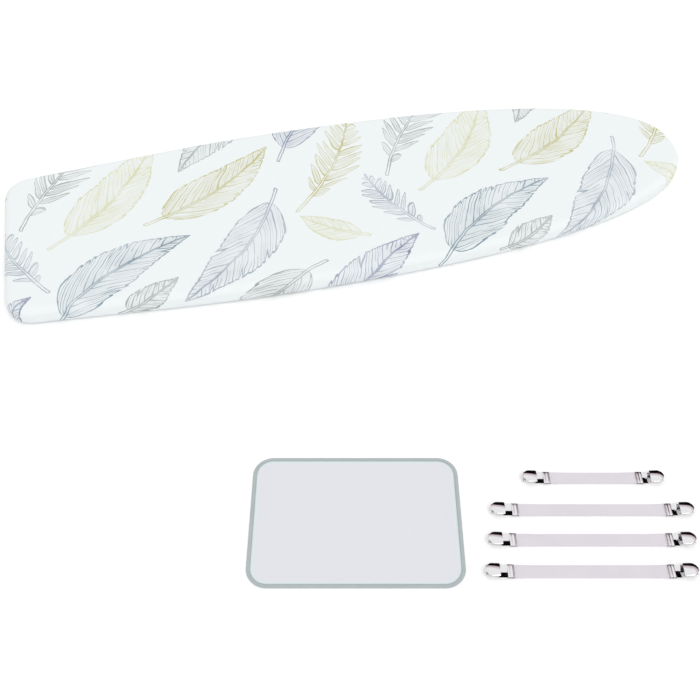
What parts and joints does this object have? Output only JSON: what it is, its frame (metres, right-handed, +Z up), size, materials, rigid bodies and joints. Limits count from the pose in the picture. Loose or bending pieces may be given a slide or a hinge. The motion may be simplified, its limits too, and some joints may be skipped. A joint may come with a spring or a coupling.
{
  "type": "ironing board cover",
  "caption": "Fitted cotton ironing board cover with felt pad and elastic hem, with a pressing cloth and elastic tension straps that end in lever clips.",
  "frame": {"origin": "the middle of the pad's underside, the face that lies on the board's deck", "axes": "+X from the square tail to the rounded nose, +Y to the far long side, +Z up out of the ironing face"},
  "size_m": [1.215, 1.006, 0.0332],
  "materials": {
    "printed_cotton": "smooth plain weave, printed all over with fine line-drawn leaves and fronds",
    "needled_felt": "needled felt",
    "cotton_tape": "folded cotton tape, stitched",
    "elastic_cord": "round elastic cord",
    "netted_cloth": "fine open net",
    "green_grey_tape": "folded cotton tape, stitched",
    "elastic_webbing": "ribbed woven elastic",
    "plated_steel": "bright nickel plate",
    "grip_plastic": "moulded, matt"
  },
  "bodies": {
    "cover": {"cover_sheet": "printed_cotton", "felt_pad": "needled_felt", "hem_binding": "cotton_tape", "hem_elastic": "elastic_cord"},
    "pressing_cloth": {"press_cloth": "netted_cloth", "press_cloth_binding": "green_grey_tape"},
    "short_strap": {"short_strap_band": "elastic_webbing", "short_strap_left_base": "plated_steel", "short_strap_left_grip": "grip_plastic", "short_strap_left_pin": "plated_steel"},
    "short_strap_end": {"short_strap_right_base": "plated_steel", "short_strap_right_grip": "grip_plastic", "short_strap_right_pin": "plated_steel"},
    "short_strap_left_lever": {"short_strap_left_lever": "plated_steel"},
    "short_strap_right_lever": {"short_strap_right_lever": "plated_steel"},
    "long_strap_1": {"long_strap_1_band": "elastic_webbing", "long_strap_1_left_base": "plated_steel", "long_strap_1_left_grip": "grip_plastic", "long_strap_1_left_pin": "plated_steel"},
    "long_strap_1_end": {"long_strap_1_right_base": "plated_steel", "long_strap_1_right_grip": "grip_plastic", "long_strap_1_right_pin": "plated_steel"},
    "long_strap_1_left_lever": {"long_strap_1_left_lever": "plated_steel"},
    "long_strap_1_right_lever": {"long_strap_1_right_lever": "plated_steel"},
    "long_strap_2": {"long_strap_2_band": "elastic_webbing", "long_strap_2_left_base": "plated_steel", "long_strap_2_left_grip": "grip_plastic", "long_strap_2_left_pin": "plated_steel"},
    "long_strap_2_end": {"long_strap_2_right_base": "plated_steel", "long_strap_2_right_grip": "grip_plastic", "long_strap_2_right_pin": "plated_steel"},
    "long_strap_2_left_lever": {"long_strap_2_left_lever": "plated_steel"},
    "long_strap_2_right_lever": {"long_strap_2_right_lever": "plated_steel"},
    "long_strap_3": {"long_strap_3_band": "elastic_webbing", "long_strap_3_left_base": "plated_steel", "long_strap_3_left_grip": "grip_plastic", "long_strap_3_left_pin": "plated_steel"},
    "long_strap_3_end": {"long_strap_3_right_base": "plated_steel", "long_strap_3_right_grip": "grip_plastic", "long_strap_3_right_pin": "plated_steel"},
    "long_strap_3_left_lever": {"long_strap_3_left_lever": "plated_steel"},
    "long_strap_3_right_lever": {"long_strap_3_right_lever": "plated_steel"}
  },
  "joints": [
    {"name": "pressing_cloth_lift", "type": "slide", "parent": "cover", "child": "pressing_cloth", "axis": [0, 0, 1], "range_m": [0, 0.1]},
    {"name": "short_strap_lift", "type": "slide", "parent": "cover", "child": "short_strap", "axis": [0, 0, 1], "range_m": [0, 0.1]},
    {"name": "short_strap_stretch", "type": "slide", "parent": "short_strap", "child": "short_strap_end", "axis": [0.9732, -0.23, 0], "range_m": [0, 0.05], "stiffness_N_per_m": 90, "deforming": ["short_strap_band"]},
    {"name": "short_strap_left_hinge", "type": "hinge", "parent": "short_strap", "child": "short_strap_left_lever", "pos_m": [0.09191, -0.61576, -0.0189], "axis": [-0.23, -0.9732, 0], "range_deg": [0, 90]},
    {"name": "short_strap_right_hinge", "type": "hinge", "parent": "short_strap_end", "child": "short_strap_right_lever", "pos_m": [0.27565, -0.65919, -0.0189], "axis": [0.23, 0.9732, 0], "range_deg": [0, 90]},
    {"name": "long_strap_1_lift", "type": "slide", "parent": "cover", "child": "long_strap_1", "axis": [0, 0, 1], "range_m": [0, 0.1]},
    {"name": "long_strap_1_stretch", "type": "slide", "parent": "long_strap_1", "child": "long_strap_1_end", "axis": [0.9732, -0.23, 0], "range_m": [0, 0.09], "stiffness_N_per_m": 50, "deforming": ["long_strap_1_band"]},
    {"name": "long_strap_1_left_hinge", "type": "hinge", "parent": "long_strap_1", "child": "long_strap_1_left_lever", "pos_m": [0.03224, -0.65344, -0.0189], "axis": [-0.23, -0.9732, 0], "range_deg": [0, 90]},
    {"name": "long_strap_1_right_hinge", "type": "hinge", "parent": "long_strap_1_end", "child": "long_strap_1_right_lever", "pos_m": [0.29286, -0.71505, -0.0189], "axis": [0.23, 0.9732, 0], "range_deg": [0, 90]},
    {"name": "long_strap_2_lift", "type": "slide", "parent": "cover", "child": "long_strap_2", "axis": [0, 0, 1], "range_m": [0, 0.1]},
    {"name": "long_strap_2_stretch", "type": "slide", "parent": "long_strap_2", "child": "long_strap_2_end", "axis": [0.9732, -0.23, 0], "range_m": [0, 0.09], "stiffness_N_per_m": 50, "deforming": ["long_strap_2_band"]},
    {"name": "long_strap_2_left_hinge", "type": "hinge", "parent": "long_strap_2", "child": "long_strap_2_left_lever", "pos_m": [0.0142, -0.69563, -0.0189], "axis": [-0.23, -0.9732, 0], "range_deg": [0, 90]},
    {"name": "long_strap_2_right_hinge", "type": "hinge", "parent": "long_strap_2_end", "child": "long_strap_2_right_lever", "pos_m": [0.27482, -0.75723, -0.0189], "axis": [0.23, 0.9732, 0], "range_deg": [0, 90]},
    {"name": "long_strap_3_lift", "type": "slide", "parent": "cover", "child": "long_strap_3", "axis": [0, 0, 1], "range_m": [0, 0.1]},
    {"name": "long_strap_3_stretch", "type": "slide", "parent": "long_strap_3", "child": "long_strap_3_end", "axis": [0.9732, -0.23, 0], "range_m": [0, 0.09], "stiffness_N_per_m": 50, "deforming": ["long_strap_3_band"]},
    {"name": "long_strap_3_left_hinge", "type": "hinge", "parent": "long_strap_3", "child": "long_strap_3_left_lever", "pos_m": [-0.00383, -0.73781, -0.0189], "axis": [-0.23, -0.9732, 0], "range_deg": [0, 90]},
    {"name": "long_strap_3_right_hinge", "type": "hinge", "parent": "long_strap_3_end", "child": "long_strap_3_right_lever", "pos_m": [0.25678, -0.79941, -0.0189], "axis": [0.23, 0.9732, 0], "range_deg": [0, 90]}
  ]
}
